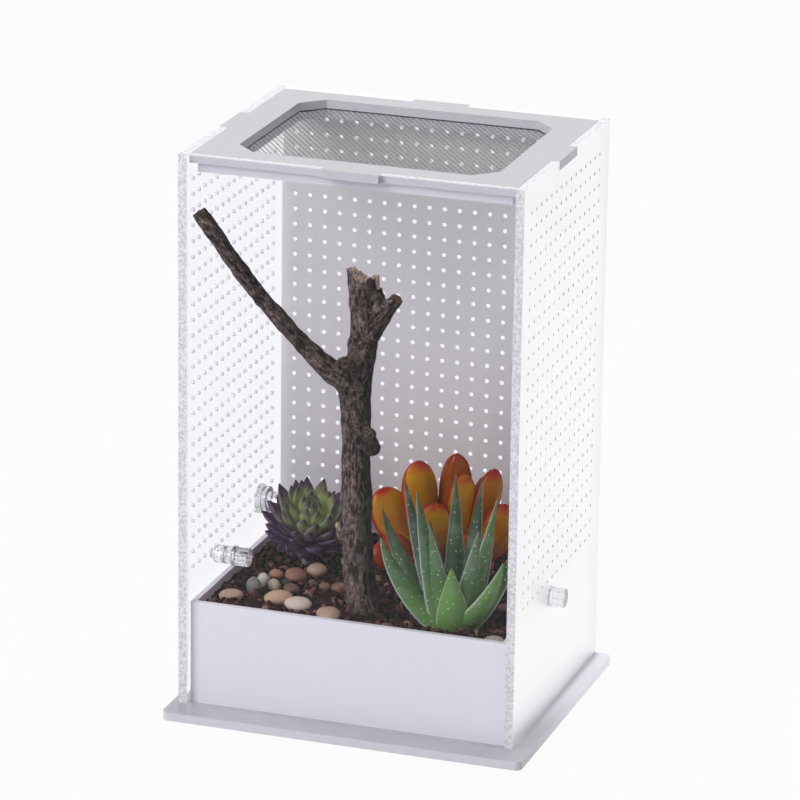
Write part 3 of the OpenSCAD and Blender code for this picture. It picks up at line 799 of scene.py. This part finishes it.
def makeBranch():
    keys = ("trunk", "left", "right", "stub")
    paths = [lifted(wood[key]) for key in keys]
    shells = [limbShell(p) for p in paths]
    shells += [lumpShell(lifted([place])[0], across, down) for place, across, down in wood["lumps"]]
    verts, faces = joinShells(shells)
    skin = skinOf("branchBlock", verts, faces, makeMaterial("dryBark", dryBark))
    count = len(skin.vertices)
    place, normal = np.zeros(count * 3), np.zeros(count * 3)
    skin.vertices.foreach_get("co", place)
    skin.vertex_normals.foreach_get("vector", normal)
    place, normal = place.reshape(-1, 3) / mm, normal.reshape(-1, 3)
    limb, along, turn, dist = nearestLimb(place, paths)
    # bark laid flat: round the limb by turn, and along it shortened, so that noise on it makes long furrows
    along = along * wood["furrowStretch"] + limb * 100
    unrolled = np.stack([np.cos(turn) * dist, np.sin(turn) * dist, along], axis=-1)
    ridge = 1 - np.abs(layered(unrolled, wood["furrowMm"], 3, 61)) * 2.2
    relief = np.clip(0.5 + 0.4 * (ridge - 0.35) + 0.14 * layered(place, 1.7, 2, 83), 0, 1)
    sawn = np.zeros(count)
    for number in (1, 3):
        end = np.array(paths[number][-1][:3])
        axis = unit(end - np.array(paths[number][-2][:3]))
        near = ((place - end) @ axis > -wood["sliceMm"]) & (limb == number)
        sawn = np.maximum(sawn, np.clip((normal @ axis - 0.3) * 2.2, 0, 1) * near)
    sway, dents, marks = [layered(place, wood[key][0], 2, seed) * wood[key][1]
                          for key, seed in (("sway", 77), ("dents", 99), ("sawMarks", 91))]
    move = sway + ((relief - 0.55) * wood["barkMm"] * 2 + dents) * (1 - sawn)
    # painted shade, on the side turned away from the key lamp and round a few spots at forks and knots
    paintedShade = np.clip(normal @ unit(np.array(wood["paintedShade"])) * 1.3, 0, 1) * wood["paintedShadeShare"]
    for spot, reach in wood["paintedShadeSpots"]:
        away = np.linalg.norm(place - lifted([spot])[0], axis=1)
        paintedShade = np.maximum(paintedShade, wood["paintedSpotShare"] * np.exp(-(away / reach) ** 2))
    place = place + normal * (move + marks * sawn)[:, None]
    # the right arm is snapped off: nothing stands over a jagged line
    size, tall = wood["spikes"]
    broken = np.interp(place[:, 0], *zip(*wood["tornEdge"]))
    broken += tall * latticeNoise(place * [1, 1, 0], size, 17)
    broken -= wood["tornSlope"] * (place[:, 1] - wood["right"][-1][1])
    over = place[:, 2] - soilTop - broken
    arm = (limb == keys.index("right")) & (place[:, 2] - soilTop > wood["tornFrom"])
    torn = np.clip(over + 0.9, 0, 1) * arm
    place[:, 2] -= np.where(arm & (over > 0), over, 0)
    centre, (nearBud, farBud) = wood["bud"]
    bud = np.clip((farBud - np.linalg.norm(place - lifted([centre])[0], axis=1)) / (farBud - nearBud), 0, 1)
    skin.vertices.foreach_set("co", (place * mm).ravel())
    setMarks(skin, {"relief": relief, "sawn": sawn, "torn": torn, "bud": bud, "paintedShade": paintedShade,
                    "unrolled": unrolled})
    skin.shade_smooth()
    plant(newObject("dryBranch", skin), "branch")
    print("branch faces", len(skin.polygons))


makeBranch()
print("branch grown")


def leafShells(look, foot, bend, tip, side, width):
    # centre line: the quadratic curve from foot to tip pulled towards bend.
    # cross-section: an oval, wide along side, whose edges are lifted by cup; outline and depth scale it from
    # foot to tip, and every third ring is wider by teeth
    rows, cols = look["grid"]
    v = (np.arange(rows) + 0.5) / rows
    v3 = v[None, :, None]
    foot, bend, tip, side = [np.asarray(a, float)[:, None] for a in (foot, bend, tip, side)]
    centre = (1 - v3) ** 2 * foot + 2 * v3 * (1 - v3) * bend + v3 ** 2 * tip
    along = unit(2 * (1 - v3) * (bend - foot) + 2 * v3 * (tip - bend))
    across = unit(side - np.sum(side * along, -1, keepdims=True) * along)
    face = np.cross(along, across)
    u = (np.arange(cols) / cols * 2 * math.pi)[None, None]
    w = np.interp(v, *zip(*look["outline"]))[None, :, None] * width[:, None, None] / 2
    w = w * (1 + look["teeth"] * (np.arange(rows) % 3 == 0)[None, :, None])
    d = np.interp(v, *zip(*look["depth"]))[None, :, None] * look["thickMm"] / 2
    x = np.cos(u) * w
    y = np.sin(u) * d + look["cup"] * w * np.cos(u) ** 2
    rings = centre[:, :, None] + across[:, :, None] * x[..., None] + face[:, :, None] * y[..., None]
    edge = np.abs(np.cos(u)) * np.ones_like(x)
    reach = v[None, :, None] * np.ones_like(x)
    poles = np.concatenate([foot, tip], axis=1)
    return rings, poles, {"along": shellMarks(reach, 0.0, 1.0), "edge": shellMarks(edge, 0.5, 1.0)}


def leafSkin(add, place, look):
    # moulded leaf: its colour runs from foot to tip under washes for rims, clouds and flecks
    sources = {key: add("Attribute", attribute_name=key).outputs["Fac"] for key in ("along", "edge", "shade")}
    acrossMm, detail = look["cloud"]
    sources["cloud"] = add("TexNoise", {"Vector": place, "Scale": 1 / (acrossMm * mm), "Detail": detail})
    if "fleckMm" in look:
        flecks = add("TexVoronoi", {"Vector": place, "Scale": 1 / (look["fleckMm"] * mm)})
        sources["fleck"] = flecks.outputs["Distance"]
    colour = add("ValToRGB", {"Fac": sources["along"]}, (look["stops"], look["colours"]))
    for source, start, end, share, paint, ease in look["washes"]:
        amount = add("MapRange", {"Value": sources[source], "From Min": start, "From Max": end,
                                  "To Max": share}, interpolation_type=ease)
        if isinstance(paint, list):
            paint = add("ValToRGB", {"Fac": sources["along"]}, (look["stops"], paint))
        else:
            paint = linear(paint)
        colour = add("Mix", {0: amount, 6: colour, 7: paint}, data_type="RGBA")
    acrossMm, strength, deepMm = look["grain"]
    grain = add("TexNoise", {"Vector": place, "Scale": 1 / (acrossMm * mm)})
    return bumpySkin(add, colour, grain, strength, deepMm, look["sockets"])


def makeLeaves(look, leaves, shades):
    rings, poles, marks = leaves
    verts, quads, tris = shellMesh(rings, poles)
    marks["shade"] = np.repeat(np.asarray(shades, float), len(verts) // len(shades))
    name, slot, node, finish = look["names"]
    plant(makePiece(name, verts, [quads, tris], makeMaterial(finish, leafSkin, look), marks), node)


frontRight = np.array(cameraAxes(cameraLook)[0])


def turnedSides(foot, tip, front):
    # leaf faces turn between square to the plant's middle and square to the front
    out = (tip - foot) * np.array([1, 1, 0])
    tangent = unit(np.stack([-out[:, 1], out[:, 0], np.zeros(len(out))], -1) + 1e-6)
    tangent = tangent * np.where(tangent @ frontRight < 0, -1, 1)[:, None]
    return unit(tangent * (1 - front) + frontRight * front)


def makeBlades(look):  # leaves that rise from one foot, each to its own tip
    rows = np.array(look["leaves"], float)
    foot = np.array(look["foot"], float) + [0, 0, soilTop]
    tip = rows[:, :3] + [0, 0, soilTop]
    out = (tip - foot) * [1, 1, 0]
    outwards, upwards = look["swing"]
    further = rows[:, 4:-1].sum(axis=1, keepdims=True)  # a leaf's own swing, where its row gives one
    bend = foot + out * (outwards + further) + (tip - foot) * [0, 0, 1] * upwards
    side = turnedSides(foot, tip, look["facing"])
    leaves = leafShells(look, foot + unit(out) * look["footOut"], bend, tip, side, rows[:, 3])
    makeLeaves(look, leaves, rows[:, -1])


aloe = {
    # satin soft plastic: fresh green at the foot and grey-green above, with pale rims and flecks
    "names": ("aloeLeaves", "aloe_leaf", "aloe", "satinAloeLeaf"),  # piece, slot, node, finish
    "foot": (56, -50, 1),
    "leaves": [  # tip x, y, height; width; how far the middle swings out; greenness
        (5, -30, 59, 15, 0.3, 0.3), (12.5, -55, 51, 17, 0.34, 0.5), (18, -30, 78, 15, 0.22, 0.1),
        (32, -50, 79, 17, 0.18, 0.3), (50, -35, 87, 15, 0.1, 0.2), (67, -40, 87, 15, 0.12, 0.1),
        (78, -45, 79, 15, 0.22, 0.55), (86, -58, 46, 16, 0.34, 0.9), (59, -68, 43, 20, 0.3, 1.0),
        (43, -60, 63, 16, 0.2, 0.5), (66, -14, 56, 14, 0.3, 0.2), (86, -30, 52, 14, 0.34, 0.3),
        (72, -60, 64, 16, 0.2, 0.5), (30, -20, 52, 14, 0.3, 0.2),
    ],
    "footOut": 5,
    "swing": (0.45, 0.42),  # where the middle of a leaf lies: share outwards and share upwards
    "facing": 0.55,
    "thickMm": 5,
    "cup": 0.3,
    "teeth": 0.04,
    "grid": (54, 16),  # rings from foot to tip, and points in each
    "outline": [(0, 0.9), (0.1, 1.0), (0.25, 0.95), (0.5, 0.72), (0.75, 0.42), (0.92, 0.17), (1, 0.03)],
    "depth": [(0, 1.1), (0.2, 1.0), (0.6, 0.7), (0.9, 0.35), (1, 0.1)],
    "stops": (0.0, 0.2, 0.5, 0.82, 1.0),
    "colours": ["#6C9650", "#51764A", "#31473B", "#323C39", "#543836"],
    "cloud": (8, 3),  # width in mm, and layers of detail
    "fleckMm": 2.9,
    "washes": [  # by what, from, to, share, colour, how it fades
        ("shade", 0, 1, 0.8, "#73A350", "LINEAR"),
        ("cloud", 0.45, 0.8, 0.4, "#8C9F92", "LINEAR"),
        ("fleck", 0.171, 0.169, 0.5, "#E2EADC", "LINEAR"),
        ("edge", 0.9, 0.98, 0.8, "#C0C2BA", "LINEAR"),
    ],
    "grain": (1.1, 0.5, 0.12),  # width in mm, strength, depth in mm
    "sockets": {"Roughness": 0.5, "Specular IOR Level": 0.2, "Subsurface Weight": 0.1,
                "Subsurface Radius": (0.5, 1.0, 0.4), "Subsurface Scale": 0.002},
}
makeBlades(aloe)

jelly = {
    # glossy and clear like fruit jelly: amber inside, with red-orange rims and deep red feet
    "names": ("jellyLeaves", "orange_leaf", "succulent_orange", "glossyJellyLeaf"),
    "foot": (22, 24, 3),
    "leaves": [  # tip x, y, height; width; redness
        (9, 20, 72, 23, 0.1), (29, 32, 75, 20, 0.85), (38, 18, 68, 18, 0.1), (54, 25, 71, 17, 0.6),
        (-12, 20, 53, 24, 0.25), (0, 36, 57, 16, 1.0), (63, 18, 53, 19, 0.5), (46, 42, 61, 18, 0.9),
        (-14, 14, 20, 18, 1.0), (2, 48, 46, 20, 0.8), (30, 54, 34, 20, 0.8), (56, 46, 30, 20, 0.8),
        (-8, 42, 24, 18, 0.9), (-2, 4, 31, 17, 0.85), (12, 2, 16, 15, 1.0), (24, 8, 52, 20, 0.15),
        (44, 6, 36, 18, 0.6), (57, 4, 22, 16, 1.0), (2, 8, 12, 14, 1.0),
    ],
    "footOut": 3,
    "swing": (0.78, 0.36),
    "facing": 0.7,
    "thickMm": 9,
    "cup": 0.12,
    "teeth": 0,
    "grid": (26, 20),
    "outline": [(0, 0.32), (0.2, 0.42), (0.45, 0.74), (0.65, 0.97), (0.78, 1.0), (0.88, 0.88), (0.95, 0.62),
                (1, 0.2)],
    "depth": [(0, 0.6), (0.4, 0.85), (0.7, 1.0), (0.9, 0.85), (1, 0.25)],
    "stops": (0.0, 0.28, 0.5, 0.9, 0.965, 1.0),
    "colours": ["#2C0202", "#8A1402", "#BE7C00", "#D29600", "#C43400", "#9A1200"],
    "cloud": (9, 2),
    "washes": [
        ("cloud", 0.45, 0.75, 0.6, "#EAB200", "LINEAR"),
        ("edge", 0.84, 0.94, 0.92, "#A61C00", "SMOOTHSTEP"),
        ("shade", 0, 1, 0.9, "#8E0E00", "LINEAR"),
    ],
    "grain": (5, 0.3, 0.3),
    "sockets": {"Roughness": 0.2, "Specular IOR Level": 0.1, "Subsurface Weight": 0.3,
                "Subsurface Radius": (1.0, 0.35, 0.08), "Subsurface Scale": 0.004,
                "Coat Weight": 0.12, "Coat Roughness": 0.05},
}
makeBlades(jelly)

rosette = {
    # waxy bloom: pale green near the heart and plum outside, with near-black tips and paler rims
    "names": ("rosetteLeaves", "purple_leaf", "succulent_purple", "waxyRosetteLeaf"),
    "heart": (-61, 28, 14.5),
    "axis": (0.2, -0.3, 0.93),  # the way the rosette faces
    "rings": [  # angle from the axis, leaves, length, width, turn
        (6, 3, 27, 6.5, 20), (17, 6, 30, 8, 0), (29, 9, 32, 9, 18), (42, 12, 33.5, 9.6, 4),
        (55, 14, 34, 10, 12), (68, 15, 32, 9.6, 0), (82, 15, 28, 9, 9), (97, 13, 22, 8.4, 3),
    ],
    "shake": (4, 6),  # degrees of unevenness in rise and turn
    "heartMm": 3,  # the leaves' feet stand this far from the heart
    "lengths": (0.93, 1.04),
    "bendAt": 0.55,
    "curl": 0.12,  # share of a leaf's length that its tip turns in by
    "oldFrom": (34, 58),  # angles from the axis between which the leaves turn plum
    "thickMm": 3.8,
    "cup": 0.28,
    "teeth": 0,
    "grid": (14, 12),
    "outline": [(0, 0.5), (0.25, 0.72), (0.55, 1.0), (0.7, 0.94), (0.82, 0.64), (0.92, 0.28), (1, 0.02)],
    "depth": [(0, 0.8), (0.4, 1.0), (0.8, 0.8), (1, 0.1)],
    "stops": (0.0, 0.4, 0.72, 0.88, 0.98),
    "colours": ["#D8E596", "#CFE08C", "#B4C67C", "#6A6C54", "#2A202C"],
    "cloud": (5, 3),
    "washes": [
        ("shade", 0, 1, 1, ["#8A6896", "#7A5686", "#63416E", "#4A3354", "#1F1524"], "LINEAR"),
        ("cloud", 0.5, 0.8, 0.22, "#AB98BA", "LINEAR"),
        ("edge", 0.86, 0.99, 0.45, "#A08CAB", "LINEAR"),
    ],
    "grain": (1.5, 0.4, 0.12),
    "sockets": {"Roughness": 0.5, "Specular IOR Level": 0.25, "Sheen Weight": 0.08, "Sheen Roughness": 0.4},
}


def makeRosette(look):
    # leaves stand in rings round a tilted axis, each ring at its own angle, and their tips curl towards it
    rng = np.random.default_rng(5)
    heart = np.array(look["heart"], float) + [0, 0, soilTop]
    axis = unit(np.array(look["axis"], float))
    level = unit(np.cross(axis, [0, 1, 0]))
    third = np.cross(axis, level)
    rows = [(fall, i * 360 / n + turn, length, width) for fall, n, length, width, turn in look["rings"]
            for i in range(n)]
    fall, turn, length, width = np.array(rows).T
    shakeFall, shakeTurn = look["shake"]
    count = len(rows)
    fall = np.radians(fall + rng.uniform(-shakeFall, shakeFall, count))
    turn = np.radians(turn + rng.uniform(-shakeTurn, shakeTurn, count))
    length = length * rng.uniform(*look["lengths"], count)
    out = level * np.cos(turn)[:, None] + third * np.sin(turn)[:, None]
    along = out * np.sin(fall)[:, None] + axis * np.cos(fall)[:, None]
    foot = heart + along * look["heartMm"]
    curl = look["curl"] * length[:, None]
    inwards = unit(np.cross(np.cross(along, axis), along) + 1e-6)
    tip = foot + along * (length - look["heartMm"])[:, None] + inwards * curl
    bend = foot + along * (length * look["bendAt"])[:, None] - inwards * curl
    side = unit(np.cross(axis, out))
    shade = np.clip(np.interp(np.degrees(fall), look["oldFrom"], (0, 1)), 0, 1)
    makeLeaves(look, leafShells(look, foot, bend, tip, side, width), shade)


makeRosette(rosette)
print("plants set")
